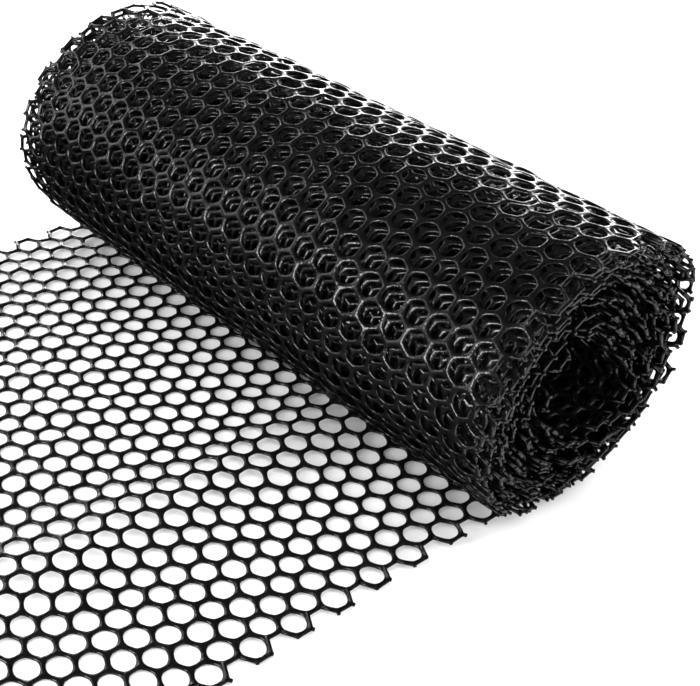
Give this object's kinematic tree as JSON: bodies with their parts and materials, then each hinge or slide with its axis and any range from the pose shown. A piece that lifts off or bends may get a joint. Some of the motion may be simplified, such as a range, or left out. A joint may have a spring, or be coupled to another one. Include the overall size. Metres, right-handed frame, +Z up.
{
  "type": "roll of balcony safety net",
  "caption": "Roll of black hexagonal plastic netting for closing off a balcony railing, wound loosely round an open hollow with its free end unrolled flat in front.",
  "frame": {"origin": "on the floor, on the flat spot that the roll rests on, below the roll's axis and about its middle", "axes": "+Z up, X along the roll's axis with +X at the end that shows its turns, the loose end lies toward -Y"},
  "size_m": [0.4396, 0.3899, 0.1531],
  "materials": {
    "black_net": "black extruded plastic strands with a soft sheen, slightly uneven, glossier on the drawn edges"
  },
  "bodies": {
    "root": {"net_roll": "black_net", "net_loose_end": "black_net"}
  },
  "joints": []
}
